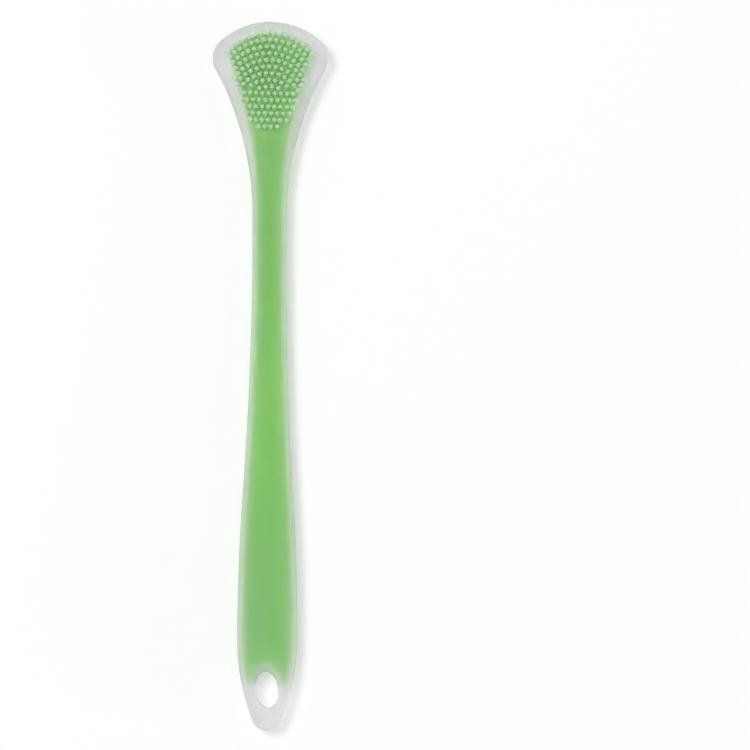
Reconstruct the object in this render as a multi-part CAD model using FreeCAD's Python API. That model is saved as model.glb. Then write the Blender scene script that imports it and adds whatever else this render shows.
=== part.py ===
import FreeCAD, Part
import math
import os
from collections import namedtuple

# Tongue scraper: a stiff plastic core inside a translucent silicone skin, with rows of silicone
# bristles on its fan-shaped head. It lies on its back: +Y towards the head, +Z out of the bristles,
# its flat back on z = 0 and the origin under the middle of the whole. Lengths are in mm.

# Plan of the silicone body, seen from above
overall_length = 160.0
head_width = 26.1
crown_radius = 16.6
head_corner_radius = 5.0
neck_start = 44.0
neck_width = 7.7
neck_length = 9.5
handle_width = 13.5
tail_length = 20.5
tip_radius = 3.4

# Thickness of the silicone body, whose back is flat, seen from the side
head_thickness = 5.0
handle_thickness = 5.2
tail_thickness = 5.0
head_ramp_length = 36.0
tail_ramp_length = 16.0
edge_radius = 1.4

# Hanging hole through the tail, an oval that leans a little to one side
hole_width = 5.2
hole_length = 8.2
hole_height = 9.2
hole_lean_deg = 7.0
hole_edge_radius = 0.7

# Core: how far it stays inside the silicone at each place, and its own corners
crown_rim = 2.3
head_rim = 3.5
neck_rim = 0.55
handle_rim = 0.7
tail_rim = 3.0
head_skin = 1.1
handle_skin = 1.2
core_crown_radius = 13.2
core_corner_radius = 3.0
core_neck_start = 41.0
core_tip_radius = 2.2
core_end_height = 10.6
hole_side_wall = 0.6
hole_end_wall = 1.1

# Bristles and their field on the head
bristle_root_diameter = 1.0
bristle_tip_diameter = 0.9
bristle_edge_radius = 0.25
bristle_height = 1.8
straight_row_gap = 0.39
bowed_row_gap = 0.44
bristle_least_gap = 0.04
field_overhang = 0.1
field_edge_gap = 0.15
field_top = 2.6
field_length = 21.1
field_lean_deg = 1.2
field_to_ramp = 1.8
top_row_radius = 12.4
low_row_radius = 6.1

# Counts
row_count = 15
straight_row_count = 6
first_row_bristles = 4

# Shares
swell_turn_share = 0.59
ramp_turn_share = 0.5
edge_limit_share = 0.45
upright_share = 0.3

# One overrun for every cut
overrun = 2.0

# Places that follow from the sizes above
head_end = overall_length / 2
tail_end = -overall_length / 2
swell_y = head_end - neck_start - neck_length
widest_y = tail_end + tail_length
hole_centre = FreeCAD.Vector(0, tail_end + hole_height, 0)
tail_flat_y = hole_centre.y + hole_length / 2 + hole_end_wall
ALONG = FreeCAD.Vector(0, 1, 0)
ACROSS = FreeCAD.Vector(1, 0, 0)
UP = FreeCAD.Vector(0, 0, 1)
ORIGIN = FreeCAD.Vector(0, 0, 0)

Plan = namedtuple("Plan", "top neck tip head_half neck_half handle_half crown corner tip_radius")
body_plan = Plan(
    top=head_end,
    neck=head_end - neck_start,
    tip=tail_end,
    head_half=head_width / 2,
    neck_half=neck_width / 2,
    handle_half=handle_width / 2,
    crown=crown_radius,
    corner=head_corner_radius,
    tip_radius=tip_radius,
)
core_plan = Plan(
    top=head_end - crown_rim,
    neck=head_end - core_neck_start,
    tip=tail_end + tail_rim,
    head_half=head_width / 2 - head_rim,
    neck_half=neck_width / 2 - neck_rim,
    handle_half=handle_width / 2 - handle_rim,
    crown=core_crown_radius,
    corner=core_corner_radius,
    tip_radius=core_tip_radius,
)


def arc_about(centre, start, end):
    """The shorter arc about centre from start to end."""
    middle = (start - centre) + (end - centre)
    middle.normalize()
    return Part.Arc(start, centre + middle * (start - centre).Length, end).toShape()


def tangent_arc(start, end, along):
    """The arc from start to end that sets out parallel to along."""
    chord = end - start
    side = chord - along * chord.dot(along)
    side.normalize()
    radius = chord.Length ** 2 / (2 * chord.dot(side))
    return arc_about(start + side * radius, start, end)


def s_curve(start, end, along, turn_share):
    """Two arcs from start to end, parallel to along at both ends."""
    turn = start + (end - start) * turn_share
    return [tangent_arc(start, turn, along), tangent_arc(end, turn, along)]


def toward(start, end, distance):
    """The point at a distance from start on the line through end."""
    way = end - start
    way.normalize()
    return start + way * distance


def plan_wire(plan):
    """Closed outline seen from above: crown, corners, hollow flanks, neck, swelling handle, tail."""
    crown = FreeCAD.Vector(0, plan.top - plan.crown, 0)
    corner_x = plan.head_half - plan.corner
    corner_rise = math.sqrt((plan.crown - plan.corner) ** 2 - corner_x ** 2)
    corner = FreeCAD.Vector(corner_x, crown.y + corner_rise, 0)
    inset = corner_x - plan.neck_half
    drop = corner.y - plan.neck
    flank_radius = (inset ** 2 + drop ** 2 - plan.corner ** 2) / (2 * (inset + plan.corner))
    flank = FreeCAD.Vector(plan.neck_half + flank_radius, plan.neck, 0)

    taper = widest_y - plan.tip
    tail_reach = taper ** 2 - 2 * taper * plan.tip_radius + plan.handle_half ** 2
    tail_radius = tail_reach / (2 * (plan.handle_half - plan.tip_radius))
    tail = FreeCAD.Vector(plan.handle_half - tail_radius, widest_y, 0)
    tip = FreeCAD.Vector(0, plan.tip + plan.tip_radius, 0)

    crown_end = toward(crown, corner, plan.crown)
    corner_end = toward(corner, flank, plan.corner)
    neck_top = FreeCAD.Vector(plan.neck_half, plan.neck, 0)
    neck_end = FreeCAD.Vector(plan.neck_half, swell_y, 0)
    widest = FreeCAD.Vector(plan.handle_half, widest_y, 0)
    tail_tangent = toward(tail, tip, tail_radius)
    right = [
        arc_about(crown, FreeCAD.Vector(0, plan.top, 0), crown_end),
        arc_about(corner, crown_end, corner_end),
        arc_about(flank, corner_end, neck_top),
        Part.LineSegment(neck_top, neck_end).toShape(),
        *s_curve(neck_end, widest, ALONG, swell_turn_share),
        arc_about(tail, widest, tail_tangent),
        arc_about(tip, tail_tangent, FreeCAD.Vector(0, plan.tip, 0)),
    ]
    left = [edge.mirror(ORIGIN, ACROSS) for edge in right]
    return Part.Wire(Part.__sortEdges__(right + left))


def side_slab(head_inset, handle_inset):
    """A slab wider than the head, between the body's faces or further inside them by the insets."""
    ramp_top = head_end - field_top - field_length - field_to_ramp
    stations = [
        (head_end + overrun, head_thickness, head_inset),
        (ramp_top, head_thickness, head_inset),
        (ramp_top - head_ramp_length, handle_thickness, handle_inset),
        (tail_flat_y + tail_ramp_length, handle_thickness, handle_inset),
        (tail_flat_y, tail_thickness, handle_inset),
        (tail_end - overrun, tail_thickness, handle_inset),
    ]
    back = [FreeCAD.Vector(-head_width, y, inset) for y, thickness, inset in stations]
    face = [FreeCAD.Vector(-head_width, y, thickness - inset) for y, thickness, inset in stations]
    edges = []
    for points in (back, face):
        for start, end in zip(points, points[1:]):
            if start.z == end.z:
                edges.append(Part.LineSegment(start, end).toShape())
            else:
                edges.extend(s_curve(start, end, ALONG, ramp_turn_share))
    for end in (0, -1):
        edges.append(Part.LineSegment(back[end], face[end]).toShape())
    wire = Part.Wire(Part.__sortEdges__(edges))
    return Part.Face(wire).extrude(ACROSS * (2 * head_width))


def plate(plan, head_inset, handle_inset):
    """The plan outline raised to a solid whose thickness changes along its length."""
    base = Part.Face(plan_wire(plan)).translated(UP * -overrun)
    block = base.extrude(UP * (head_thickness + handle_thickness + 2 * overrun))
    return block.common(side_slab(head_inset, handle_inset)).removeSplitter()


def is_upright(face):
    """Whether a face stands on edge, as the side walls do."""
    u_low, u_high, v_low, v_high = face.ParameterRange
    normal = face.normalAt((u_low + u_high) / 2, (v_low + v_high) / 2)
    return abs(normal.z) < upright_share


def rim_edges(solid):
    """Edges where an upright side face meets a face above or below it."""
    found = []
    for edge in solid.Edges:
        faces = solid.ancestorsOfType(edge, Part.Face)
        if len({is_upright(face) for face in faces}) == 2:
            found.append(edge)
    return found


def oval_prism(side_wall, end_wall):
    """A leaning oval prism around the hanging hole, larger than it by a wall at its sides and ends."""
    ellipse = Part.Ellipse(ORIGIN, hole_length / 2 + end_wall, hole_width / 2 + side_wall)
    prism = Part.Face(Part.Wire(ellipse.toShape())).extrude(UP * (handle_thickness + 2 * overrun))
    prism.rotate(ORIGIN, UP, math.degrees(math.pi / 2) + hole_lean_deg)
    prism.translate(hole_centre - UP * overrun)
    return prism


def make_core():
    """The stiff strip inside, forked around the hanging hole."""
    strip = plate(core_plan, head_skin, handle_skin)
    below_end = Part.makeBox(
        2 * head_width,
        core_end_height + overrun,
        handle_thickness + 2 * overrun,
        FreeCAD.Vector(-head_width, tail_end - overrun, -overrun),
    )
    return strip.cut(oval_prism(hole_side_wall, hole_end_wall)).cut(below_end)


def make_body(core):
    """The silicone skin around the core, rounded along its rim and around the hanging hole."""
    solid = plate(body_plan, 0, 0)
    rim = min(edge_radius, edge_limit_share * min(head_thickness, tail_thickness))
    solid = solid.makeFillet(rim, rim_edges(solid)).cut(oval_prism(0, 0))
    mouths = [edge for edge in solid.Edges if edge.isClosed()]
    return solid.makeFillet(min(hole_edge_radius, edge_limit_share * tail_thickness), mouths).cut(core)


def bristle_solid():
    """One bristle standing on z = 0: a slightly tapered pillar with a rounded edge around its flat end."""
    shoulder = bristle_height - bristle_edge_radius
    flat = bristle_tip_diameter / 2 - bristle_edge_radius
    foot = FreeCAD.Vector(bristle_root_diameter / 2, 0, 0)
    waist = FreeCAD.Vector(bristle_tip_diameter / 2, 0, shoulder)
    brow = FreeCAD.Vector(flat, 0, bristle_height)
    top = FreeCAD.Vector(0, 0, bristle_height)
    profile = [
        Part.LineSegment(ORIGIN, foot).toShape(),
        Part.LineSegment(foot, waist).toShape(),
        arc_about(FreeCAD.Vector(flat, 0, shoulder), waist, brow),
        Part.LineSegment(brow, top).toShape(),
        Part.LineSegment(top, ORIGIN).toShape(),
    ]
    return Part.Face(Part.Wire(profile)).revolve(ORIGIN, UP, math.degrees(2 * math.pi))


def row_places(row):
    """Places along one row, from the axis outwards; odd rows straddle the axis."""
    bowed = row - straight_row_count
    step = bristle_root_diameter + (bowed_row_gap if bowed > 0 else straight_row_gap)
    y = head_end - field_top - field_length * (row_count - row) / (row_count - 1)
    first = step / 2 if row % 2 else 0
    limit = head_width / 2
    places = []
    run = first
    while run < limit:
        if bowed > 0:
            rise_share = (bowed - 1) / (row_count - straight_row_count - 1)
            radius = low_row_radius + (top_row_radius - low_row_radius) * rise_share
            turn = run / radius
            place = (radius * math.sin(turn), y - radius * (1 - math.cos(turn)))
        else:
            place = (run, y)
        places.append(FreeCAD.Vector(place[0], place[1], head_thickness))
        if run > 0:
            places.append(FreeCAD.Vector(-place[0], place[1], head_thickness))
        run += step
    return places[:first_row_bristles] if row == 1 else places


def leaned(place):
    """A place of the field, turned with it about the top of the head."""
    pivot = FreeCAD.Vector(0, head_end, 0)
    return pivot + FreeCAD.Rotation(UP, -field_lean_deg).multVec(place - pivot)


def on_field(place, core_face, rim_wire):
    """Whether a bristle here is backed by the core and clear of the rounded rim."""
    spot = Part.Vertex(place)
    backed = core_face.distToShape(spot)[0] <= field_overhang
    rim_margin = edge_radius + bristle_root_diameter / 2 + field_edge_gap
    return backed and rim_wire.distToShape(spot)[0] >= rim_margin


def bristle_rows():
    """Places of every row, from the neck to the crown, on the field and clear of each other."""
    lift = UP * head_thickness
    core_face = Part.Face(plan_wire(core_plan)).translated(lift)
    rim_wire = plan_wire(body_plan).translated(lift)
    spacing = bristle_root_diameter + bristle_least_gap
    taken = []
    rows = []
    for row in range(1, row_count + 1):
        kept = []
        for place in row_places(row):
            apart = all(place.distanceToPoint(other) >= spacing for other in taken)
            if apart and on_field(place, core_face, rim_wire):
                kept.append(place)
        taken.extend(kept)
        rows.append([leaned(place) for place in kept])
    return rows


def main():
    os.makedirs("parts", exist_ok=True)
    core = make_core()
    core.exportStep("parts/core.step")
    make_body(core).exportStep("parts/silicone_body.step")
    bristle = bristle_solid()
    for number, places in enumerate(bristle_rows(), start=1):
        row = Part.makeCompound([bristle.translated(place) for place in places])
        row.exportStep(f"parts/bristle_row_{number:02d}.step")


main()
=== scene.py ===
# Looks of a tongue scraper: a green plastic core inside a milky clear silicone body with rows of
# silicone bristles on its head. It lies on a white table and is seen from straight above.

import math
from collections import namedtuple

import bmesh
import bpy
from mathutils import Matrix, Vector
from mathutils.kdtree import KDTree


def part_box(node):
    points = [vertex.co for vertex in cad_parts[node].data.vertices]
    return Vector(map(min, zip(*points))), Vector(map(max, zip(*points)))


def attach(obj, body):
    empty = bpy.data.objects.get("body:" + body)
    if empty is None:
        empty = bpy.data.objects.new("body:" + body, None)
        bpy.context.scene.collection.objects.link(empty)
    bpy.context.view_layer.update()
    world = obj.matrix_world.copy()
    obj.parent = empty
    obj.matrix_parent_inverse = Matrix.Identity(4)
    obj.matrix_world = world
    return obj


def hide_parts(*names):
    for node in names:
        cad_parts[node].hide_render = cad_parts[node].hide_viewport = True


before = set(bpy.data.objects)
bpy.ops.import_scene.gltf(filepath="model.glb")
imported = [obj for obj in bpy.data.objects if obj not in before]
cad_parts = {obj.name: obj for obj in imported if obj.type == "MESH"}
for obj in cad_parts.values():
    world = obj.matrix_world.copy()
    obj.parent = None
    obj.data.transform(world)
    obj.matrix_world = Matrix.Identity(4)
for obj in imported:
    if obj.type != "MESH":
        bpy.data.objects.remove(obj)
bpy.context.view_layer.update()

MM = 0.001

# Sizes that the parts in model.glb give
body_low, body_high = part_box("silicone_body")
core_low, core_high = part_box("core")
head_end = body_high.y
tail_end = body_low.y

# Plan of the body and of the core inside it
crown_radius = 16.6 * MM
head_corner_radius = 5.0 * MM
neck_start = 44.0 * MM
neck_width = 7.7 * MM
swell_start = 53.5 * MM
handle_width = 13.5 * MM
tail_length = 20.5 * MM
tip_radius = 3.4 * MM
swell_turn_share = 0.59
neck_rim = 0.55 * MM
handle_rim = 0.7 * MM
tail_rim = 3.0 * MM
core_crown_radius = 13.2 * MM
core_corner_radius = 3.0 * MM
core_neck_start = 41.0 * MM
core_tip_radius = 2.2 * MM

# Thickness along the body, whose back is flat, and of its skin over the core
head_thickness = 5.0 * MM
handle_thickness = body_high.z - body_low.z
tail_thickness = 5.0 * MM
head_skin = 1.1 * MM
handle_skin = 1.2 * MM
mid_height = (body_low.z + body_high.z) / 2
head_ramp_start = 25.5 * MM
head_ramp_length = 36.0 * MM
tail_ramp_length = 16.0 * MM
ramp_cuts = 14
edge_radius = 1.4 * MM
core_edge_radius = 0.6 * MM
edge_segments = 6

# How the core's green gains strength from its rim inwards, and what the head's skin veils of it
core_grid_across = 0.5 * MM
core_grid_along = 1.5 * MM
head_fade_depth = 0.75 * MM
handle_fade_depth = 0.85 * MM
tail_fade_depth = 1.0 * MM
head_veil_share = 0.06

# Hanging hole
hole_width = 5.2 * MM
hole_length = 8.2 * MM
hole_height = 9.2 * MM
hole_lean = math.radians(7.0)
hole_edge_radius = 0.7 * MM
hole_side_wall = 0.6 * MM
hole_end_wall = 1.1 * MM
hole_sides = 64
hole_reach_share = 0.55

# Bristles
bristle_root_radius = 0.5 * MM
bristle_tip_radius = 0.49 * MM
bristle_edge_radius = 0.17 * MM
bristle_dome_height = 0.07 * MM
bristle_sides = 12
flare_share = 0.12
edge_turns = (math.radians(0), math.radians(45), math.radians(80))
root_sink = 0.05 * MM
# Share of a bristle's height over which its colour turns from clear mint to the pale tip: milky silicone
# and painted light on the lit ends
milky_lit_shares = (0.36, 0.85)
bristle_end_reach = 0.7 * MM

# Patterns in the materials. The real mould grain is finer, and is drawn this coarse so that it shows.
cloud_size = 5.0 * MM
bristle_cloud_size = 0.8 * MM
grain_size = 0.22 * MM
grain_height = 0.01 * MM

# Stretches along the core over which its green turns to another, from start to end
grey_green = (-10.0 * MM, -50.0 * MM)
neck_green = (0.0 * MM, 25.0 * MM)
# Under the bristles the green is livelier, and lighter as painted light against the shade the bristles
# cast
field_lit_green = (52.0 * MM, 58.0 * MM)

# Surfaces: roughness of the smoothest and roughest places, refraction, how much of the light goes
# through the body's skin, and how much of what lies behind a bristle its root and its tip cover
silicone_roughness = (0.66, 0.86)
bristle_roughness = (0.28, 0.44)
polypropylene_roughness = (0.38, 0.55)
silicone_refraction = 1.41
polypropylene_refraction = 1.49
silicone_clear_share = 0.91
bristle_cover_shares = (0.26, 0.6)

# How finely outlines are divided, and how edges, faces and places are told apart
outline_step = 0.6 * MM
outline_turn = math.radians(6)
sharp_angle = math.radians(45)
upright_share = 0.1
place_tolerance = 0.01 * MM

# Camera, straight above, and the part's place in the picture
picture_width = 169.35 * MM
camera_distance = 3.0
camera_x = 24.02 * MM
camera_y = 0.41 * MM
camera_roll = math.radians(0.33)

# Table and light
floor_size = 6.0
floor_gap = 0.03 * MM
white_level = 1.0
floor_glow_share = 0.33
horizon_level = 1.0
zenith_level = 0.43
lamp_distance = 3.0
key_level = 0.564
key_size = 1.4
key_elevation = math.radians(62.5)
key_azimuth = math.radians(146)
fill_level = 0.36
fill_size = 1.0
fill_elevation = math.radians(4)
fill_azimuth = math.radians(-15)

# Plans and places worked out from these sizes
Plan = namedtuple("Plan", "top neck tip head_half neck_half handle_half crown corner tip_radius")
body_plan = Plan(
    top=head_end,
    neck=head_end - neck_start,
    tip=tail_end,
    head_half=body_high.x,
    neck_half=neck_width / 2,
    handle_half=handle_width / 2,
    crown=crown_radius,
    corner=head_corner_radius,
    tip_radius=tip_radius,
)
core_plan = Plan(
    top=core_high.y,
    neck=head_end - core_neck_start,
    tip=tail_end + tail_rim,
    head_half=core_high.x,
    neck_half=neck_width / 2 - neck_rim,
    handle_half=handle_width / 2 - handle_rim,
    crown=core_crown_radius,
    corner=core_corner_radius,
    tip_radius=core_tip_radius,
)
hole_centre = Vector((0, tail_end + hole_height, mid_height))
head_ramp_low = head_end - head_ramp_start - head_ramp_length
tail_ramp_top = hole_centre.y + hole_length / 2 + hole_end_wall + tail_ramp_length
ALONG = Vector((0, 1, 0))
ACROSS = Vector((1, 0, 0))


# Outlines

def arc_points(centre, start, end):
    """Points from start, short of end, on the shorter arc about centre."""
    from_start = start - centre
    turn = from_start.to_2d().angle_signed((end - centre).to_2d())
    steps = math.ceil(abs(turn) * max(from_start.length / outline_step, 1 / outline_turn))
    first = math.atan2(from_start.y, from_start.x)
    points = []
    for step in range(steps):
        angle = first - turn * step / steps
        points.append(centre + from_start.length * Vector((math.cos(angle), math.sin(angle), 0)))
    return points


def tangent_centre(start, end, along):
    """Centre of the arc from start to end that sets out parallel to along."""
    chord = end - start
    side = (chord - along * chord.dot(along)).normalized()
    return start + side * chord.length_squared / (2 * chord.dot(side))


def line_points(start, end):
    """Points from start, short of end, on the straight line."""
    steps = math.ceil((end - start).length / outline_step)
    return [start.lerp(end, step / steps) for step in range(steps)]


def plan_points(plan):
    """Closed outline: crown, corner, hollow flank, neck, swelling handle, tail, then mirrored."""
    crown = Vector((0, plan.top - plan.crown, 0))
    corner_x = plan.head_half - plan.corner
    corner_rise = math.sqrt((plan.crown - plan.corner) ** 2 - corner_x ** 2)
    corner = Vector((corner_x, crown.y + corner_rise, 0))
    inset = corner_x - plan.neck_half
    drop = corner.y - plan.neck
    flank_radius = (inset ** 2 + drop ** 2 - plan.corner ** 2) / (2 * (inset + plan.corner))
    flank = Vector((plan.neck_half + flank_radius, plan.neck, 0))

    widest = Vector((plan.handle_half, tail_end + tail_length, 0))
    taper = widest.y - plan.tip
    tail_reach = taper ** 2 - 2 * taper * plan.tip_radius + plan.handle_half ** 2
    tail_radius = tail_reach / (2 * (plan.handle_half - plan.tip_radius))
    tail = Vector((plan.handle_half - tail_radius, widest.y, 0))
    tip = Vector((0, plan.tip + plan.tip_radius, 0))

    top = Vector((0, plan.top, 0))
    crown_end = crown + (corner - crown).normalized() * plan.crown
    corner_end = corner + (flank - corner).normalized() * plan.corner
    neck_top = Vector((plan.neck_half, plan.neck, 0))
    neck_end = Vector((plan.neck_half, head_end - swell_start, 0))
    turn = neck_end.lerp(widest, swell_turn_share)
    tail_tangent = tail + (tip - tail).normalized() * tail_radius
    end = Vector((0, plan.tip, 0))
    right = [
        *arc_points(crown, top, crown_end),
        *arc_points(corner, crown_end, corner_end),
        *arc_points(flank, corner_end, neck_top),
        *line_points(neck_top, neck_end),
        *arc_points(tangent_centre(neck_end, turn, ALONG), neck_end, turn),
        *arc_points(tangent_centre(widest, turn, ALONG), turn, widest),
        *arc_points(tail, widest, tail_tangent),
        *arc_points(tip, tail_tangent, end),
        end,
    ]
    left = [Vector((-point.x, point.y, 0)) for point in reversed(right[1:-1])]
    return right + left


# Shaping

def edit(piece):
    """Opens one piece alone in edit mode with everything in it selected."""
    bpy.ops.object.select_all(action="DESELECT")
    bpy.context.view_layer.objects.active = piece
    piece.select_set(True)
    bpy.ops.object.mode_set(mode="EDIT")
    bpy.ops.mesh.select_all(action="SELECT")


def leave_edit():
    bpy.ops.object.mode_set(mode="OBJECT")


def raise_outline(name, points, inset):
    """A flat piece as thick as the handle, or less by an inset on either side."""
    bpy.ops.object.select_all(action="DESELECT")
    bpy.ops.mesh.primitive_circle_add(vertices=len(points), fill_type="NGON")
    piece = bpy.context.object
    piece.name = name
    for vertex, point in zip(piece.data.vertices, points):
        vertex.co = (point.x, point.y, body_low.z + inset)
    edit(piece)
    rise = (0, 0, handle_thickness - 2 * inset)
    bpy.ops.mesh.extrude_region_move(TRANSFORM_OT_translate={"value": rise})
    bpy.ops.mesh.select_all(action="SELECT")
    bpy.ops.mesh.normals_make_consistent(inside=False)
    leave_edit()
    return piece


def cut_oval(piece, side_wall, end_wall):
    """Cuts the leaning oval of the hanging hole through a piece, larger by a wall at sides and ends."""
    bpy.ops.object.select_all(action="DESELECT")
    bpy.ops.mesh.primitive_cylinder_add(
        vertices=hole_sides, depth=2 * handle_thickness, location=hole_centre, rotation=(0, 0, hole_lean)
    )
    cutter = bpy.context.object
    cutter.scale = (hole_width / 2 + side_wall, hole_length / 2 + end_wall, 1)
    bpy.ops.object.transform_apply()
    bpy.ops.object.select_all(action="DESELECT")
    bpy.context.view_layer.objects.active = piece
    cut = piece.modifiers.new("hole", "BOOLEAN")
    cut.object = cutter
    cut.solver = "EXACT"
    bpy.ops.object.modifier_apply(modifier=cut.name)
    bpy.data.objects.remove(cutter)


def round_edges(piece, radius, wanted):
    """Rounds the sharp level edges of a piece that pass the test."""
    edit(piece)
    bpy.ops.mesh.select_mode(type="EDGE")
    bpy.ops.mesh.select_all(action="DESELECT")
    mesh = bmesh.from_edit_mesh(piece.data)
    for edge in mesh.edges:
        level = abs(edge.verts[0].co.z - edge.verts[1].co.z) < place_tolerance
        edge.select_set(level and edge.calc_face_angle(0) > sharp_angle and wanted(edge))
    bmesh.update_edit_mesh(piece.data)
    bpy.ops.mesh.bevel(offset=radius, segments=edge_segments, affect="EDGES")
    bpy.ops.mesh.select_mode(type="VERT")
    leave_edit()


def by_hole(edge):
    middle = (edge.verts[0].co + edge.verts[1].co) / 2
    return (middle - hole_centre).to_2d().length < hole_reach_share * hole_length


def slices(piece, places, way):
    """Lines of edges over a piece, square to the way, at places along it."""
    edit(piece)
    for place in places:
        bpy.ops.mesh.select_all(action="SELECT")
        bpy.ops.mesh.bisect(plane_co=way * place, plane_no=way)
    leave_edit()


def ramp_share(run):
    """0 before a ramp, 1 after it, and a smooth S between."""
    run = min(max(run, 0), 1)
    return 2 * run ** 2 if run < 0.5 else 1 - 2 * (1 - run) ** 2


def head_share(y):
    """0 in the handle, 1 in the head and a smooth S between."""
    return ramp_share((y - head_ramp_low) / head_ramp_length)


def tail_share(y):
    """0 in the handle, 1 in the tail and a smooth S between."""
    return ramp_share((tail_ramp_top - y) / tail_ramp_length)


def shape_thickness(piece, head_inset, handle_inset):
    """Brings a flat piece, as thick as in the handle, to the thickness of each place along the body."""
    cuts = [cut / ramp_cuts for cut in range(ramp_cuts + 1)]
    slices(piece, [head_ramp_low + head_ramp_length * cut for cut in cuts], ALONG)
    slices(piece, [tail_ramp_top - tail_ramp_length * cut for cut in cuts], ALONG)
    for vertex in piece.data.vertices:
        thickness = handle_thickness + (head_thickness - handle_thickness) * head_share(vertex.co.y)
        thickness += (tail_thickness - handle_thickness) * tail_share(vertex.co.y)
        inset = handle_inset + (head_inset - handle_inset) * head_share(vertex.co.y)
        level_share = (vertex.co.z - body_low.z - handle_inset) / (handle_thickness - 2 * handle_inset)
        vertex.co.z = body_low.z + inset + (thickness - 2 * inset) * level_share


def smooth(piece):
    """Smooth shading that keeps flat faces flat."""
    bpy.ops.object.select_all(action="DESELECT")
    bpy.context.view_layer.objects.active = piece
    piece.select_set(True)
    bpy.ops.object.shade_smooth()
    weigh = piece.modifiers.new("even", "WEIGHTED_NORMAL")
    bpy.ops.object.modifier_apply(modifier=weigh.name)


def make_body():
    """The silicone body's outer skin."""
    piece = raise_outline("body_skin", plan_points(body_plan), 0)
    slices(piece, [hole_centre.y], ALONG)
    cut_oval(piece, 0, 0)
    round_edges(piece, edge_radius, lambda edge: not by_hole(edge))
    round_edges(piece, hole_edge_radius, by_hole)
    shape_thickness(piece, 0, 0)
    smooth(piece)
    return piece


def make_core():
    """The stiff strip inside, forked around the hanging hole."""
    piece = raise_outline("core_strip", plan_points(core_plan), handle_skin)
    cut_oval(piece, hole_side_wall, hole_end_wall)
    edit(piece)
    bpy.ops.mesh.bisect(plane_co=(0, core_low.y, 0), plane_no=ALONG, clear_inner=True, use_fill=True)
    leave_edit()
    round_edges(piece, core_edge_radius, lambda edge: True)
    shape_thickness(piece, head_skin, handle_skin)
    across = math.ceil(core_high.x / core_grid_across)
    along = math.ceil((core_high.y - core_low.y) / core_grid_along)
    slices(piece, [step * core_grid_across for step in range(-across, across)], ACROSS)
    slices(piece, [core_low.y + step * core_grid_along for step in range(1, along)], ALONG)
    smooth(piece)
    mark_green(piece)
    return piece


def mark_green(piece):
    """Stores at each point how strongly the core's green shows: nothing at the rim, full well inside,
    and a little less all over the head."""
    rim = [vertex for vertex in piece.data.vertices if abs(vertex.normal.z) < upright_share]
    tree = KDTree(len(rim))
    for vertex in rim:
        tree.insert(vertex.co.to_2d().to_3d(), vertex.index)
    tree.balance()
    share = piece.data.attributes.new("green_share", "FLOAT", "POINT")
    for index, vertex in enumerate(piece.data.vertices):
        distance = tree.find(vertex.co.to_2d().to_3d())[2]
        fade = handle_fade_depth + (head_fade_depth - handle_fade_depth) * head_share(vertex.co.y)
        fade += (tail_fade_depth - handle_fade_depth) * tail_share(vertex.co.y)
        veil = 1 - head_veil_share * head_share(vertex.co.y)
        share.data[index].value = veil * (1 - math.exp(-distance / fade))


def make_bristle(height):
    """One bristle standing on z = 0: flared root, pillar, rounded edge and a slightly domed end."""
    flat = bristle_tip_radius - bristle_edge_radius
    shoulder = height - bristle_dome_height - bristle_edge_radius
    rings = [(bristle_root_radius, -root_sink), (bristle_tip_radius, flare_share * height)]
    for turn in edge_turns:
        radius = flat + bristle_edge_radius * math.cos(turn)
        rings.append((radius, shoulder + bristle_edge_radius * math.sin(turn)))
    bpy.ops.object.select_all(action="DESELECT")
    bpy.ops.mesh.primitive_circle_add(
        vertices=bristle_sides, radius=bristle_root_radius, fill_type="NGON", location=(0, 0, -root_sink)
    )
    piece = bpy.context.object
    bpy.ops.object.transform_apply()
    edit(piece)
    for (radius, level), (next_radius, next_level) in zip(rings, rings[1:]):
        bpy.ops.mesh.extrude_region_move(TRANSFORM_OT_translate={"value": (0, 0, next_level - level)})
        bpy.ops.transform.resize(value=(next_radius / radius, next_radius / radius, 1))
    bpy.ops.mesh.poke()
    bpy.ops.mesh.select_all(action="DESELECT")
    mesh = bmesh.from_edit_mesh(piece.data)
    for vertex in mesh.verts:
        if vertex.co.to_2d().length < place_tolerance:
            vertex.co.z = height
    bmesh.update_edit_mesh(piece.data)
    bpy.ops.mesh.select_all(action="SELECT")
    bpy.ops.mesh.normals_make_consistent(inside=False)
    leave_edit()
    bpy.ops.object.shade_smooth()
    return piece


def row_places(node):
    """Where the bristles of a row stand: under the middles of the ends of the node's own bristles."""
    low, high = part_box(node)
    ends = []
    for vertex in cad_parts[node].data.vertices:
        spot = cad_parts[node].matrix_world @ vertex.co
        if spot.z < high.z - place_tolerance:
            continue
        near = [end for end in ends if (end[0] - spot).length < bristle_end_reach]
        if near:
            near[0].append(spot)
        else:
            ends.append([spot])
    places = []
    for end in ends:
        middle = [(min(run) + max(run)) / 2 for run in zip(*end)]
        places.append(Vector((*middle[:2], low.z)))
    return places


def make_row(bristle, node):
    """A row of copies of one bristle, joined to one piece."""
    bpy.ops.object.select_all(action="DESELECT")
    for place in row_places(node):
        copy = bristle.copy()
        copy.data = bristle.data.copy()
        copy.location = place
        bpy.context.collection.objects.link(copy)
        copy.select_set(True)
        bpy.context.view_layer.objects.active = copy
    bpy.ops.object.transform_apply()
    bpy.ops.object.join()
    row = bpy.context.object
    bpy.ops.object.transform_apply()
    row.name = node + "_tips"
    return row


# Materials

def colour(code):
    """A written sRGB colour as the linear one that the renderer takes."""
    channels = [int(code[place:place + 2], 16) / 255 for place in (0, 2, 4)]
    linear = [c / 12.92 if c <= 0.04045 else ((c + 0.055) / 1.055) ** 2.4 for c in channels]
    return (*linear, 1)


def add_node(tree, kind, inputs, **settings):
    """Adds a node with its settings, and with its inputs set or linked."""
    node = tree.nodes.new(kind)
    for name, value in settings.items():
        setattr(node, name, value)
    for name, value in inputs.items():
        if isinstance(value, bpy.types.NodeSocket):
            tree.links.new(value, node.inputs[name])
        else:
            node.inputs[name].default_value = value
    return node


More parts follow.
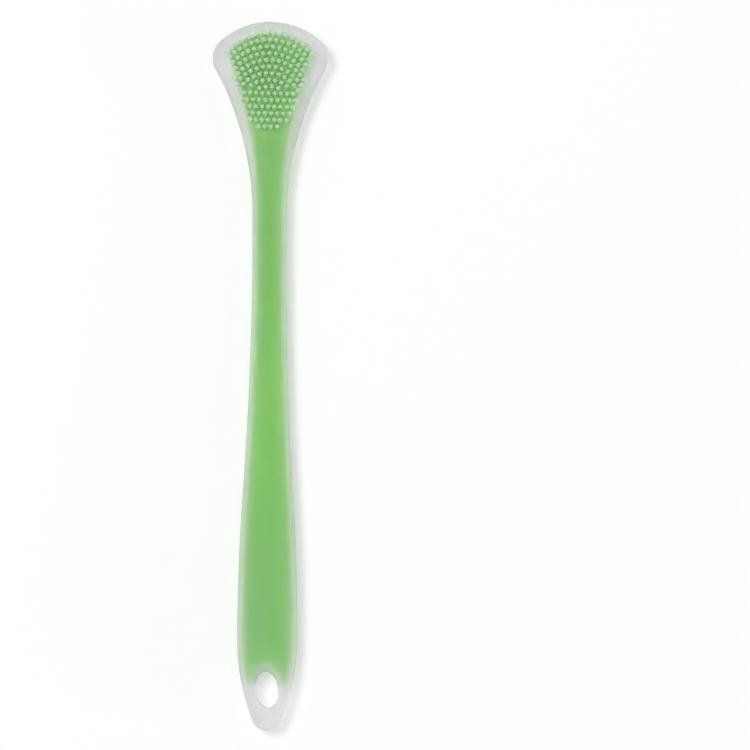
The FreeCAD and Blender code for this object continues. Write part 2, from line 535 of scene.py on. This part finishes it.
def new_material(name):
    material = bpy.data.materials.new(name)
    material.use_nodes = True
    material.node_tree.nodes.clear()
    return material, material.node_tree


def moulded_grain(tree, place):
    """The fine grain that the mould leaves on a surface, as its normal."""
    grain = add_node(tree, "ShaderNodeTexNoise", {"Vector": place, "Scale": 1 / grain_size})
    bump = add_node(tree, "ShaderNodeBump", {"Height": grain.outputs["Fac"], "Distance": grain_height})
    return bump.outputs["Normal"]


def silicone():
    """Milky clear silicone, moulded matt: a frosted view of what lies inside and a soft broad sheen."""
    material, tree = new_material("clear_silicone")
    place = add_node(tree, "ShaderNodeTexCoord", {}).outputs["Object"]
    noise = add_node(tree, "ShaderNodeTexNoise", {"Vector": place, "Scale": 1 / cloud_size})
    clouds = noise.outputs["Fac"]
    tint = add_node(tree, "ShaderNodeMixRGB", {
        "Fac": clouds,
        "Color1": colour("f3f2f4"),
        "Color2": colour("ebeaec"),
    })
    smoothest, roughest = silicone_roughness
    rough = add_node(tree, "ShaderNodeMapRange", {
        "Value": clouds,
        "To Min": smoothest,
        "To Max": roughest,
    })
    shader = add_node(tree, "ShaderNodeBsdfPrincipled", {
        "Base Color": tint.outputs["Color"],
        "Roughness": rough.outputs["Result"],
        "IOR": silicone_refraction,
        "Transmission Weight": silicone_clear_share,
        "Normal": moulded_grain(tree, place),
    })
    add_node(tree, "ShaderNodeOutputMaterial", {"Surface": shader.outputs[0]})
    return material


def bristle_silicone(low, high):
    """Silicone of thin bristles, smoother than the body: clear mint pillars with milky tips, their paler
    colour partly milky silicone and partly painted light on the lit ends.
    """
    material, tree = new_material("bristle_silicone")
    place = add_node(tree, "ShaderNodeTexCoord", {}).outputs["Object"]
    noise = add_node(tree, "ShaderNodeTexNoise", {"Vector": place, "Scale": 1 / bristle_cloud_size})
    clouds = noise.outputs["Fac"]
    level = add_node(tree, "ShaderNodeSeparateXYZ", {"Vector": place}).outputs["Z"]
    clear_end, lit_milk_start = [low + share * (high - low) for share in milky_lit_shares]
    rise = {"Value": level, "From Min": clear_end, "From Max": lit_milk_start}
    tip_share = add_node(tree, "ShaderNodeMapRange", rise)
    root_cover, tip_cover = bristle_cover_shares
    cover = add_node(tree, "ShaderNodeMapRange", {**rise, "To Min": root_cover, "To Max": tip_cover})
    # Pale tip colour: milky silicone, and painted light where the ends catch the light
    milky_lit_tip = add_node(tree, "ShaderNodeMixRGB", {
        "Fac": clouds,
        "Color1": colour("cce8d6"),
        "Color2": colour("b8dcc2"),
    })
    tint = add_node(tree, "ShaderNodeMixRGB", {
        "Fac": tip_share.outputs["Result"],
        "Color1": colour("bceab0"),
        "Color2": milky_lit_tip.outputs["Color"],
    })
    smoothest, roughest = bristle_roughness
    rough = add_node(tree, "ShaderNodeMapRange", {
        "Value": clouds,
        "To Min": smoothest,
        "To Max": roughest,
    })
    shader = add_node(tree, "ShaderNodeBsdfPrincipled", {
        "Base Color": tint.outputs["Color"],
        "Roughness": rough.outputs["Result"],
        "IOR": silicone_refraction,
        "Alpha": cover.outputs["Result"],
        "Normal": moulded_grain(tree, place),
    })
    add_node(tree, "ShaderNodeOutputMaterial", {"Surface": shader.outputs[0]})
    return material


def polypropylene():
    """Green polypropylene: slightly mottled, greyer to the tail, deeper in the neck, livelier and
    lighter under the bristles, the lighter part being painted light against the bristles' shade, and
    paler at its rim, where the milky silicone is deep."""
    material, tree = new_material("green_polypropylene")
    place = add_node(tree, "ShaderNodeTexCoord", {}).outputs["Object"]
    noise = add_node(tree, "ShaderNodeTexNoise", {"Vector": place, "Scale": 1 / cloud_size})
    mottle = noise.outputs["Fac"]
    along = add_node(tree, "ShaderNodeSeparateXYZ", {"Vector": place}).outputs["Y"]
    stretches = []
    for start, end in (grey_green, neck_green, field_lit_green):
        run = {"Value": along, "From Min": start, "From Max": end}
        stretches.append(add_node(tree, "ShaderNodeMapRange", run).outputs["Result"])
    to_tail, to_neck, to_field_lit = stretches
    green = colour("76d512")
    tones = (
        (to_tail, "7ccc66"),
        (to_neck, "5cbe04"),
        (mottle, "70cc1e"),
        # Painted light: a lighter green under the bristles, against their shade
        (to_field_lit, "92e44e"),
    )
    for share, tone in tones:
        blend = {"Fac": share, "Color1": green, "Color2": colour(tone)}
        green = add_node(tree, "ShaderNodeMixRGB", blend).outputs["Color"]
    strength = add_node(tree, "ShaderNodeAttribute", {}, attribute_name="green_share")
    faded = add_node(tree, "ShaderNodeMixRGB", {
        "Fac": strength.outputs["Fac"],
        "Color1": colour("d4f2c8"),
        "Color2": green,
    })
    smoothest, roughest = polypropylene_roughness
    rough = add_node(tree, "ShaderNodeMapRange", {
        "Value": mottle,
        "To Min": smoothest,
        "To Max": roughest,
    })
    shader = add_node(tree, "ShaderNodeBsdfPrincipled", {
        "Base Color": faded.outputs["Color"],
        "Roughness": rough.outputs["Result"],
        "IOR": polypropylene_refraction,
        "Normal": moulded_grain(tree, place),
    })
    add_node(tree, "ShaderNodeOutputMaterial", {"Surface": shader.outputs[0]})
    return material


def seen_rays(tree):
    """1 for rays that show a surface as itself, to the camera or in or through the part."""
    path = add_node(tree, "ShaderNodeLightPath", {})
    seen = path.outputs["Is Camera Ray"]
    for kind in ("Is Glossy Ray", "Is Transmission Ray"):
        inputs = {0: seen, 1: path.outputs[kind]}
        seen = add_node(tree, "ShaderNodeMath", inputs, operation="MAXIMUM").outputs[0]
    return seen


def white_table(name):
    """White table that stays white to the eye and still takes a soft shadow."""
    material, tree = new_material(name)
    paper = add_node(tree, "ShaderNodeBsdfDiffuse", {"Color": colour("ffffff")})
    glow = add_node(tree, "ShaderNodeEmission", {"Strength": white_level})
    inputs = {0: seen_rays(tree), 1: floor_glow_share}
    share = add_node(tree, "ShaderNodeMath", inputs, operation="MULTIPLY")
    inputs = {"Fac": share.outputs[0], 1: paper.outputs[0], 2: glow.outputs[0]}
    shader = add_node(tree, "ShaderNodeMixShader", inputs)
    add_node(tree, "ShaderNodeOutputMaterial", {"Surface": shader.outputs[0]})
    return material


# Pieces

def place_piece(piece, material, node):
    piece.data.materials.append(material)
    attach(piece, "root")
    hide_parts(node)


place_piece(make_body(), silicone(), "silicone_body")
place_piece(make_core(), polypropylene(), "core")
row_nodes = sorted(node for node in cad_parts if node.startswith("bristle_row"))
first_low, first_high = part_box(row_nodes[0])
bristle_look = bristle_silicone(first_low.z, first_high.z)
bristle = make_bristle(first_high.z - first_low.z)
for node in row_nodes:
    place_piece(make_row(bristle, node), bristle_look, node)
bpy.data.objects.remove(bristle)

# Table, light and camera

def add_lamp(level, size, elevation, azimuth):
    """A round lamp aimed at the part, as bright as its level on a surface that faces it."""
    way = Vector((
        math.cos(elevation) * math.cos(azimuth),
        math.cos(elevation) * math.sin(azimuth),
        math.sin(elevation),
    ))
    bpy.ops.object.light_add(type="AREA", location=way * lamp_distance)
    lamp = bpy.context.object
    lamp.rotation_euler = way.to_track_quat("Z", "Y").to_euler()
    lamp.data.shape = "DISK"
    lamp.data.size = size
    lamp.data.energy = level * math.pi ** 2 * lamp_distance ** 2


bpy.ops.object.select_all(action="DESELECT")
bpy.ops.mesh.primitive_plane_add(size=floor_size, location=(0, 0, body_low.z - floor_gap))
floor = bpy.context.object
floor.name = "table"
floor.data.materials.append(white_table("white_table"))

world = bpy.data.worlds.new("white_room")
world.use_nodes = True
tree = world.node_tree
tree.nodes.clear()
way = add_node(tree, "ShaderNodeTexCoord", {}).outputs["Generated"]
rise = add_node(tree, "ShaderNodeSeparateXYZ", {"Vector": way}).outputs["Z"]
inputs = {"Value": rise, "To Min": horizon_level, "To Max": zenith_level}
room = add_node(tree, "ShaderNodeMapRange", inputs).outputs["Result"]
seen = add_node(tree, "ShaderNodeLightPath", {}).outputs["Is Camera Ray"]
inputs = {"Value": seen, "To Min": room, "To Max": white_level}
strength = add_node(tree, "ShaderNodeMapRange", inputs).outputs["Result"]
sky = add_node(tree, "ShaderNodeBackground", {"Strength": strength})
add_node(tree, "ShaderNodeOutputWorld", {"Surface": sky.outputs[0]})
scene = bpy.context.scene
scene.world = world
scene.view_settings.view_transform = "Standard"

add_lamp(key_level, key_size, key_elevation, key_azimuth)
add_lamp(fill_level, fill_size, fill_elevation, fill_azimuth)

bpy.ops.object.camera_add(
    location=(camera_x, camera_y, mid_height + camera_distance), rotation=(0, 0, camera_roll)
)
camera = bpy.context.object
camera.data.lens = camera.data.sensor_width * camera_distance / picture_width
scene.camera = camera
